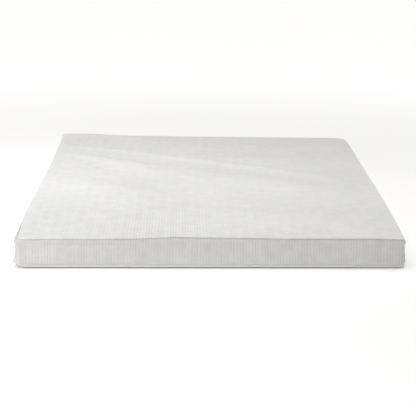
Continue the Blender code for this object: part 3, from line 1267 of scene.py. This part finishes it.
@dataclass(frozen=True)
class TopPanel:
    """The knit top: lengthwise ribs over the crown and its soft folds, rolled down to the upper seam."""

    form: SlabForm
    ribs: RibSizes
    finish: KnitFinish
    seed: float = 1.0
    thickness: float = 0.0018
    under_columns: int = 6
    corner_columns: int = 7
    roll_steps: int = 4
    fold_zone: Pair = (-0.30, 0.93)
    fold_row: float = 0.0165
    plain_row: float = 0.034
    rib_drift: float = 0.0022
    calm_power: int = 4
    side_fade: float = 0.010
    flatter_right: float = 0.50
    flat_by_right: float = 0.5
    flatter_head: float = 0.50
    flat_by_head: float = 0.6
    bolder: float = 0.60
    bolder_at: float = -0.34
    bolder_reach: float = 0.17
    bolder_along: float = 0.5

    def _columns(self) -> tuple[np.ndarray, np.ndarray]:
        """Places the mesh lines across the width.

        Returns:
            Their places, and which of them the under layer of the cloth has too.
        """
        corner = self.form.flat_corner
        inner = self.form.flat_half[0] - corner
        step = self.ribs.station_pitch
        count = int(inner / step / self.under_columns) * self.under_columns
        middle = np.arange(-count, count + 1) * step
        turns = np.arange(self.corner_columns + 1) / self.corner_columns * QUARTER_TURN
        ends = inner + corner * np.sin(turns)
        places = np.concatenate([-ends[::-1], middle, ends])
        shared = np.ones(len(places), dtype=bool)
        shared[len(ends) : -len(ends)] = np.arange(len(middle)) % self.under_columns == 0
        return places, shared

    def _rows(self) -> np.ndarray:
        """Places the mesh rows along the length.

        Returns:
            Their places, as shares of the half length.
        """
        flat = self.form.flat_half[1]
        low, high = self.fold_zone
        spans = ((-flat, low, self.plain_row), (low, high, self.fold_row), (high, flat, self.fold_row))
        parts = []
        for start, end, step in spans:
            parts.append(np.linspace(start, end, max(2, round((end - start) / step)), endpoint=False))
        return np.append(np.concatenate(parts), flat) / flat

    def _drift(self, x: np.ndarray, y: np.ndarray) -> np.ndarray:
        """Gives the sideways wander of the ribs at points in plan, none at the edges."""
        sizes = ((x, self.form.half_width), (y, self.form.half_length))
        calm = math.prod(1 - (place / half) ** self.calm_power for place, half in sizes)
        return self.rib_drift * calm * waved(RIB_WAVES, x, y)

    def _strength(self, x: np.ndarray, y: np.ndarray) -> np.ndarray:
        """Gives how strongly the ribs are raised.

        Args:
            x: Places across the width, at whose ends the ribs fade out.
            y: Places along the length.

        Returns:
            The strength, less to the right and towards the head, and more left of the middle at the foot.
        """
        from_foot = y + self.form.half_length
        right = self.flatter_right * np.clip(x / self.flat_by_right, 0, 1)
        head = self.flatter_head * np.clip(from_foot / self.flat_by_head, 0, 1)
        off_bold = (x - self.bolder_at) / self.bolder_reach
        bold = self.bolder * np.exp(-(off_bold**2) - from_foot / self.bolder_along)
        ends = np.clip((self.form.flat_half[0] - np.abs(x)) / self.side_fade, 0, 1)
        return ends * (1 - right) * (1 - head) * (1 + bold)

    def _surface(self, x: np.ndarray, y: np.ndarray, down: float) -> np.ndarray:
        """Lays points on the slab's top, or down under the outer face of its cloth."""
        place = self.form.side_place(x, y, self.form.seam_height)
        return np.column_stack([place, y, self.form.top_height(x, y, down)])

    def _layer(self, draft: MeshDraft, x: np.ndarray, rows: np.ndarray, down: float) -> np.ndarray:
        """Lays one layer of the cloth's flat part.

        Args:
            draft: The mesh to add to.
            x: The mesh lines' places across the width.
            rows: The rows, as shares of each line's length.
            down: How far under the outer face the layer is.

        Returns:
            The numbers of its points, by line and row.
        """
        form = self.form
        past = np.clip((np.abs(x) - (form.half_width - form.upper_radius)) / form.flat_corner, 0, 1)
        ends = form.half_length - form.upper_radius + form.flat_corner * np.sqrt(1 - past**2)
        grid_x = np.repeat(x, len(rows))
        grid_y = (ends[:, None] * rows[None, :]).ravel()
        surface = self._surface(grid_x + self._drift(grid_x, grid_y), grid_y, down)
        strength = self._strength(grid_x, grid_y) if down == 0 else 0.0
        numbers = draft.place(surface, np.column_stack([grid_x, grid_y]), grid_x / self.ribs.repeat, strength)
        return numbers.reshape(len(x), len(rows))

    @staticmethod
    def _rim(grid: np.ndarray) -> np.ndarray:
        """Walks anticlockwise round a grid's outer points, from its foot left corner."""
        return np.concatenate([grid[:-1, 0], grid[-1, :-1], grid[:0:-1, -1], grid[0, :0:-1]])

    def _roll(self, draft: MeshDraft, rim: np.ndarray, radius: float, outer: bool) -> list[np.ndarray]:
        """Rolls the cloth's edge down to the seam.

        Args:
            draft: The mesh to add to.
            rim: The numbers of the flat part's outer points.
            radius: The radius of this layer's roll.
            outer: Whether this is the outer layer.

        Returns:
            The rings of the roll, from the flat part down.
        """
        form = self.form
        cloth, ribs = (np.concatenate(parts)[rim] for parts in (draft.cloth, draft.marks[RIB_COUNT]))
        limit = np.array([form.half_width, form.half_length]) - form.upper_radius
        outward = cloth - np.clip(cloth, -limit, limit)
        outward /= np.linalg.norm(outward, axis=1)[:, None]
        lengthwise = np.abs(outward[:, 1]) ** 2 * self._strength(cloth[:, 0], cloth[:, 1])
        rings = [rim]
        for step in range(1, self.roll_steps + 2):
            angle = min(step / self.roll_steps, 1.0) * QUARTER_TURN
            skirt = form.seam_skirt if step > self.roll_steps else 0.0
            place = cloth + outward * radius * math.sin(angle)
            down = form.edge_roll - radius * math.cos(angle) + skirt
            fade = (1 - (step / (self.roll_steps + 1)) ** 3) if outer else 0.0
            on_cloth = cloth + outward * (radius * angle + skirt)
            points = self._surface(place[:, 0], place[:, 1], down)
            # Painted shade on the roll's lowest rings, in the seam next to the left foot corner.
            near_seam = 1.0 if outer and step >= self.roll_steps else 0.0
            shade = near_seam * form.corner_seam_painted_shade(place[:, 0], place[:, 1]) * facing(outward, 0)
            rings.append(draft.place(points, on_cloth, ribs, lengthwise * fade, shade))
        return rings

    def build(self, recipe: GeometryRecipe) -> bpy.types.Object:
        """Makes the top panel.

        Args:
            recipe: The rib tree.

        Returns:
            The finished piece.
        """
        draft = MeshDraft()
        columns, shared = self._columns()
        rows = self._rows()
        upper = self._layer(draft, columns, rows, 0.0)
        under = self._layer(draft, columns[shared], rows, self.thickness)
        draft.fill(upper, face_up=True)
        draft.fill(under, face_up=False)
        outer = self._roll(draft, self._rim(upper), self.form.edge_roll, outer=True)
        inner = self._roll(draft, self._rim(under), self.form.edge_roll - self.thickness, outer=False)
        draft.bridge(outer, turned=True)
        draft.bridge(inner)
        self._close(draft, outer[-1], inner[-1], self._rim(np.repeat(shared[:, None], len(rows), axis=1)))
        panel = draft.build("top_knit_panel")
        recipe.apply(panel, self.ribs, self.seed, self.finish.build())
        drop_rib_count(panel)
        return panel

    @staticmethod
    def _close(draft: MeshDraft, outer: np.ndarray, inner: np.ndarray, kept: np.ndarray) -> None:
        """Closes the cloth's lower edge between its fine outer layer and its coarser inner one.

        Args:
            draft: The mesh to add to.
            outer: The outer layer's last ring.
            inner: The inner layer's last ring.
            kept: Which points of the outer ring face one of the inner ring.
        """
        starts = np.flatnonzero(kept)
        ends = np.append(starts[1:], starts[0] + len(outer))
        around = np.append(outer, outer).tolist()
        for start, end, here, ahead in zip(starts, ends, inner.tolist(), np.roll(inner, -1).tolist()):
            draft.faces.append((*around[start : end + 1][::-1], here, ahead))


@dataclass(frozen=True)
class SideBand:
    """The filled slab, whose sides are the ribbed side band."""

    form: SlabForm
    walk: Walk
    ribs: RibSizes
    finish: KnitFinish
    seed: float = 2.0
    top_clearance: float = 0.0030
    flatter: float = 0.85
    fade_at_tape: float = 0.006
    fade_at_seam: float = 0.004
    cap_pitch: int = 16
    rows_between: int = 2
    tall_row: float = 0.007
    lean: float = 0.05
    bulge: float = 0.0009
    # Painted shade: under the upper seam on the long sides, from shade_from up over shade_over, and in the
    # lower seam's recess below recess_to.
    side_shade: float = 0.40
    shade_from: float = 0.1112
    shade_over: float = 0.004
    recess_to: float = 0.0060
    profile: tuple[BandRow, ...] = (
        BandRow(0.0024, -0.0105),
        BandRow(0.0036, -0.0095),
        BandRow(0.0058, -0.0047),
        BandRow(0.0150, -0.0020),
        BandRow(0.0162, 0.0002),
        BandRow(0.0190, 0.0018),
        BandRow(0.0300, 0.0026),
        BandRow(0.0540, 0.0016),
        BandRow(0.0800, 0.0006),
        BandRow(0.0960, 0.0006),
        BandRow(0.1070, 0.0006),
        BandRow(0.1125, 0.0000),
        BandRow(0.1157, -0.0012),
        BandRow(0.1173, -0.0028),
    )

    def _rows(self) -> list[BandRow]:
        """Reads the profile through a smooth curve, with more rows up the tall part.

        Returns:
            The rows.
        """
        heights = np.array([row.height for row in self.profile])
        outs = np.array([row.out for row in self.profile])
        slopes = np.gradient(outs, heights)
        rows = []
        for i, span in enumerate(np.diff(heights)):
            steps = self.rows_between if span > self.tall_row and heights[i] > self.form.welt_top else 1
            for share in np.arange(steps) / steps:
                ease = 3 * share**2 - 2 * share**3
                bend = (share**3 - 2 * share**2 + share) * slopes[i] + (share**3 - share**2) * slopes[i + 1]
                out = (1 - ease) * outs[i] + ease * outs[i + 1] + bend * span * (steps > 1)
                rows.append(BandRow(heights[i] + span * share, out))
        return [*rows, self.profile[-1]]

    def _strength(self, height: float) -> float:
        """Gives the strength of the ribs at a height.

        Args:
            height: The ring's height.

        Returns:
            The strength, which fades out into both seams.
        """
        above = (height - self.form.welt_top) / self.fade_at_tape
        below = (self.form.seam_height - height) / self.fade_at_seam
        return self.flatter * min(max(above, 0.0), max(below, 0.0), 1.0)

    def _painted_shade_of_seams(self, height: float, points: np.ndarray, outward: np.ndarray) -> np.ndarray:
        """Paints shade into the recess of the lower seam, under the upper seam and into the hollows.

        Args:
            height: The ring's height.
            points: The ring's points.
            outward: The ring's outward directions.

        Returns:
            How far each point is shaded.
        """
        if height < self.recess_to:
            return np.ones(len(outward))
        under_seam = min(max((height - self.shade_from) / self.shade_over, 0.0), 1.0)
        drawn = self.form.corner_seam_painted_shade(points[:, 0], points[:, 1])
        hollows = sum(hollow.shade(points[:, 0], height) for hollow in HOLLOWS) * facing(outward, 1)
        return under_seam * np.maximum(self.side_shade, drawn) * facing(outward, 0) + hollows

    def _soft_bulge(self, points: np.ndarray, height: float) -> np.ndarray:
        """Gives the band's slow unevenness, none at its seams, and its swells.

        Args:
            points: A ring's points.
            height: The ring's height.

        Returns:
            How far each point stands out.
        """
        way_round = points[:, 0] * WAY_ROUND[0] + points[:, 1] * WAY_ROUND[1]
        middle = math.sin(math.pi * self.form.up_share(height))
        swell = self.bulge * middle * waved(BAND_WAVES, way_round, height)
        for bump in BUMPS if height >= self.form.welt_top else ():
            away = np.hypot(points[:, 0] - bump.centre[0], points[:, 1] - bump.centre[1]) / bump.reach
            swell += bump.out * np.exp(-(away**2) - ((height - bump.height) / bump.half_height) ** 2)
        return swell

    def _ring(self, draft: MeshDraft, row: BandRow) -> np.ndarray:
        """Lays one ring of the band.

        Args:
            draft: The mesh to add to.
            row: The ring's height and how far it stands out.

        Returns:
            The numbers of its points.
        """
        slide = self.lean * (row.height - self.form.seam_height / 2)
        points, outward = self.walk.raised(row.out, row.height, slide)
        points[:, :2] += outward * self._soft_bulge(points, row.height)[:, None]
        repeats = round(len(points) / self.ribs.stations)
        count = np.arange(len(points)) * repeats / len(points)
        cloth = np.column_stack([count * self.ribs.repeat, np.full(len(points), row.height)])
        # Painted shade of the seams and the hollows.
        shade = self._painted_shade_of_seams(row.height, points, outward)
        return draft.place(points, cloth, count, self._strength(row.height), shade)

    def _cap(self, draft: MeshDraft, rim: np.ndarray) -> None:
        """Crowns the slab under the top cloth, as a coarse grid joined to the rim.

        Args:
            draft: The mesh to add to.
            rim: The uppermost ring.
        """
        form, walk = self.form, self.walk
        stations = [walk.steps(2 * (side.half - form.lower_radius)) for side in walk.sides()]
        corner = (len(rim) - sum(stations)) // 4
        first = np.cumsum([0] + [count + corner for count in stations])
        marks = [start + np.append(np.arange(0, n, self.cap_pitch), n) for start, n in zip(first, stations)]
        rim_points = np.concatenate(draft.points)[rim]
        x, y = rim_points[marks[3] % len(rim), 0], rim_points[marks[0] % len(rim), 1]
        grid_x, grid_y = np.repeat(x, len(y)), np.tile(y, len(x))
        points = np.column_stack([grid_x, grid_y, form.top_height(grid_x, grid_y, self.top_clearance)])
        grid = draft.place(points, points[:, :2]).reshape(len(x), len(y))
        draft.fill(grid, face_up=True)
        around = np.append(rim, rim).tolist()
        edges = (grid[-1, :], grid[::-1, -1], grid[0, ::-1], grid[:, 0])
        for edge, at, next_side in zip(edges, marks, first[1:]):
            inner = edge.tolist()
            for step, (low, high) in enumerate(zip(at, at[1:])):
                draft.faces.append((*around[low : high + 1], inner[step + 1], inner[step]))
            draft.faces.append((*around[at[-1] : next_side + 1], inner[-1]))

    def build(self, recipe: GeometryRecipe) -> bpy.types.Object:
        """Makes the slab with its side band.

        Args:
            recipe: The rib tree.

        Returns:
            The finished piece.
        """
        draft = MeshDraft()
        rings = [self._ring(draft, row) for row in self._rows()]
        draft.bridge(rings)
        draft.faces.append(tuple(rings[0][::-1].tolist()))
        self._cap(draft, rings[-1])
        band = draft.build("side_band_and_filling")
        recipe.apply(band, self.ribs, self.seed, self.finish.build())
        drop_rib_count(band)
        return band


@dataclass(frozen=True)
class UnderCloth:
    """The flat cloth that the topper lies on, its edge turned up into the lower seam."""

    form: SlabForm
    finish: WovenFinish
    inset: float = 0.0095
    thickness: float = 0.0020
    edge_round: float = 0.0007
    station_pitch: float = 0.020

    def build(self) -> bpy.types.Object:
        """Makes the under-cloth.

        Returns:
            The finished piece.
        """
        walk = Walk(self.form, self.station_pitch)
        draft = MeshDraft()
        rings = []
        for height, back in (
            (0.0, self.edge_round),
            (self.edge_round, 0.0),
            (self.thickness - self.edge_round, 0.0),
            (self.thickness, self.edge_round),
        ):
            points, _ = walk.raised(-self.inset - back, 0.0)
            points[:, 2] = height
            # The rings above the bottom face take the painted shade of the lower seam's recess.
            rings.append(draft.place(points, points[:, :2], shade=float(height > 0)))
        draft.bridge(rings)
        draft.faces += [tuple(rings[0][::-1].tolist()), tuple(rings[-1].tolist())]
        cloth = draft.build("under_cloth_panel")
        drop_rib_count(cloth)
        cloth.data.materials.append(self.finish.build())
        return cloth


@dataclass(frozen=True)
class SeamTape:
    """The folded tape of the lower seam."""

    form: SlabForm
    finish: WovenFinish
    seed: float = 4.0
    inset: float = 0.0010
    centre_height: float = 0.0103
    tape_thickness: float = 0.0050
    tape_height: float = 0.0106
    fold_radius: float = 0.0021
    pucker_height: float = 0.0007
    puckers_per_metre: float = 70.0
    station_pitch: float = 0.0080

    def build(self, recipe: GeometryRecipe) -> bpy.types.Object:
        """Makes the tape.

        Args:
            recipe: The tape tree.

        Returns:
            The finished piece.
        """
        points, _ = Walk(self.form, self.station_pitch).raised(-self.inset, 0.0)
        points[:, 2] = self.centre_height
        tape = line_object("lower_seam_tape", points)
        recipe.apply(tape, self, self.seed, self.finish.build())
        return tape


@dataclass(frozen=True)
class StitchRow:
    """A row of stitches along a seam."""

    form: SlabForm
    name: str
    height: float
    out: float
    finish: ThreadFinish
    seed: int
    stitch_length: float = 0.0034
    stitch_pitch: float = 0.0046
    thread_thickness: float = 0.0009
    unevenness: float = 0.12
    station_pitch: float = 0.0100

    def build(self, recipe: GeometryRecipe) -> bpy.types.Object:
        """Sews the row.

        Args:
            recipe: The stitch tree.

        Returns:
            The finished piece.
        """
        line, _ = Walk(self.form, self.station_pitch).raised(self.out, self.height)
        row = line_object(self.name, line)
        recipe.apply(row, self, self.seed, self.finish.build())
        return row


# --- The studio ---

WHITE = (1.0, 1.0, 1.0)


@dataclass(frozen=True)
class Lamp:
    """What every lamp has."""

    name: str
    power: float
    colour: Triple

    def hang(self, kind: str, facing_to: Vector) -> tuple[bpy.types.Light, bpy.types.Object]:
        """Makes the light and its object.

        Args:
            kind: The kind of light.
            facing_to: The direction that it shines in.

        Returns:
            The light and its object.
        """
        light = bpy.data.lights.new(self.name, kind)
        light.energy, light.color = self.power, self.colour
        lamp = linked(bpy.data.objects.new(self.name, light))
        lamp.rotation_euler = facing_to.to_track_quat("-Z", "Y").to_euler()
        return light, lamp


@dataclass(frozen=True)
class SoftBox(Lamp):
    """A soft lamp that faces a point of the topper."""

    place: Triple
    aim: Triple
    size: Pair
    spread: float = 180.0

    def build(self) -> None:
        """Makes the lamp."""
        light, lamp = self.hang("AREA", Vector(self.aim) - Vector(self.place))
        lamp.location = self.place
        light.shape = "RECTANGLE"
        light.spread = math.radians(self.spread)
        light.size, light.size_y = self.size


@dataclass(frozen=True)
class WideSun(Lamp):
    """An even light from a wide part of the sky, as from a large overhead diffuser."""

    direction: Triple
    spread: float

    def build(self) -> None:
        """Makes the light."""
        light, _ = self.hang("SUN", Vector(self.direction))
        light.angle = math.radians(self.spread)


LAMPS = (
    WideSun("diffuser", 2.30, (1.0, 0.990, 0.982), (0.0, 0.0, -1.0), 80.0),
    SoftBox("front key", 21.2, (0.985, 0.993, 1.0), (-1.9, -2.6, 1.2), (-0.9, -1.0, 0.1), (1.2, 1.0)),
    SoftBox("left top light", 5.0, WHITE, (-1.1, 0.2, 1.5), (-0.45, 0.1, 0.1), (0.8, 0.8)),
    SoftBox("near top light", 0.26, WHITE, (-0.9, -0.15, 1.3), (-0.45, -0.1, 0.1), (0.6, 0.6), 80.0),
    SoftBox("right top light", 0.58, WHITE, (0.6, -0.5, 1.6), (0.4, -0.4, 0.1), (1.0, 0.8), 90.0),
)


@dataclass(frozen=True)
class Studio:
    """The floor, the lights and the camera."""

    floor_finish: FloorFinish
    lamps: tuple[SoftBox | WideSun, ...]
    floor_half: float = 30.0
    world_strength: float = 0.02
    camera_place: Triple = (-0.0795, -5.867, 1.490)
    camera_pitch: float = 14.153
    camera_yaw: float = -0.835
    camera_roll: float = 0.269
    lens: float = 111.78
    sensor: float = 36.0

    def build(self) -> None:
        """Makes the studio."""
        self._floor()
        for lamp in self.lamps:
            lamp.build()
        world = bpy.data.worlds.new("Studio")
        world.use_nodes = True
        background = world.node_tree.nodes["Background"]
        background.inputs["Color"].default_value = (*WHITE, 1.0)
        background.inputs["Strength"].default_value = self.world_strength
        bpy.context.scene.world = world
        bpy.context.scene.view_settings.view_transform = "Standard"
        self._camera()

    def _floor(self) -> None:
        """Lays the floor."""
        half = self.floor_half
        mesh = bpy.data.meshes.new("floor")
        corners = [(-half, -half, 0.0), (half, -half, 0.0), (half, half, 0.0), (-half, half, 0.0)]
        mesh.from_pydata(corners, [], [(0, 1, 2, 3)])
        mesh.materials.append(self.floor_finish.build())
        linked(bpy.data.objects.new("floor", mesh))

    def _camera(self) -> None:
        """Stands the camera where the photograph was taken from."""
        data = bpy.data.cameras.new("camera")
        data.lens, data.sensor_width = self.lens, self.sensor
        data.clip_end = 4 * self.floor_half
        camera = linked(bpy.data.objects.new("camera", data))
        yaw = Matrix.Rotation(math.radians(self.camera_yaw), 4, "Z")
        tilt = Matrix.Rotation(math.radians(90.0 - self.camera_pitch), 4, "X")
        roll = Matrix.Rotation(math.radians(self.camera_roll), 4, "Z")
        camera.matrix_world = Matrix.Translation(self.camera_place) @ yaw @ tilt @ roll
        bpy.context.scene.camera = camera


# --- The topper ---

RIBS = RibSizes()
TOP_KNIT = KnitFinish("top knit", (0.87, 0.87, 0.865), (0.72, 0.72, 0.715), RIBS)
# The band is the top's knit in a darker, warmer colour: painted shade and a painted warm bounce from below.
BAND_KNIT = KnitFinish(
    "band knit",
    (0.815, 0.790, 0.782),
    (0.67, 0.645, 0.635),
    RIBS,
    groove_painted_shade=0.85,
    mottling=0.9,
    rib_mottling=0.9,
)
UNDER_WEAVE = WovenFinish("under cloth", (0.80, 0.79, 0.78), (0.66, 0.65, 0.64))
TAPE_WEAVE = WovenFinish("seam tape", (0.88, 0.87, 0.86), (0.76, 0.75, 0.74))
THREAD = ThreadFinish("sewing thread", (0.84, 0.84, 0.83), (0.70, 0.70, 0.69))
FLOOR = FloorFinish("studio floor", (0.95, 0.95, 0.95), (0.94, 0.94, 0.94))
NOMINAL_WIDTH = 1.532


@dataclass(frozen=True)
class Topper:
    """The whole topper and what the frame is told of it."""

    form: SlabForm

    def build(self) -> None:
        form, ribs = self.form, rib_recipe()
        stitches, tape = stitch_recipe(), tape_recipe()
        top = TopPanel(form, RIBS, TOP_KNIT).build(ribs)
        band = SideBand(form, Walk(form, RIBS.station_pitch), RIBS, BAND_KNIT).build(ribs)
        under = UnderCloth(form, UNDER_WEAVE).build()
        welt = SeamTape(form, TAPE_WEAVE).build(tape)
        self._declare(top, Slot.TOP_KNIT, Node.TOP)
        self._declare(band, Slot.BAND_KNIT, Node.BAND)
        self._declare(under, Slot.UNDER_CLOTH, Node.UNDER)
        self._declare(welt, Slot.WELT_CLOTH, Node.WELT)
        for name, height, out, seed in (
            ("upper_seam_stitches", 0.1164, -0.0012, 11),
            ("lower_seam_stitches", 0.0150, -0.0008, 12),
        ):
            self._declare(StitchRow(form, name, height, out, THREAD, seed).build(stitches), Slot.WELT_CLOTH)

    @staticmethod
    def _declare(piece: bpy.types.Object, slot: Slot, node: Node | None = None) -> None:
        """Tells the frame what a piece rides on and hides the solid that it stands for.

        Args:
            piece: The piece.
            slot: Its material slot. It is not used.
            node: The solid that it replaces, if any.
        """
        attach(piece, BODY)
        if node is not None:
            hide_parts(node.value)
        LOG.info("%s: %d triangles", piece.name, sum(len(face.vertices) - 2 for face in piece.data.polygons))


def main() -> None:
    """Loads the frame, sizes the topper by the top panel's box, and builds the topper and its studio."""
    logging.basicConfig(level=logging.INFO, format="%(message)s")
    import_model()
    _, top_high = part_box(Node.TOP.value)
    Topper(SlabForm(half_width=NOMINAL_WIDTH / 2, half_length=float(top_high[1]))).build()
    Studio(FLOOR, LAMPS).build()
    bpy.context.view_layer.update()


if __name__ == "__main__":
    main()
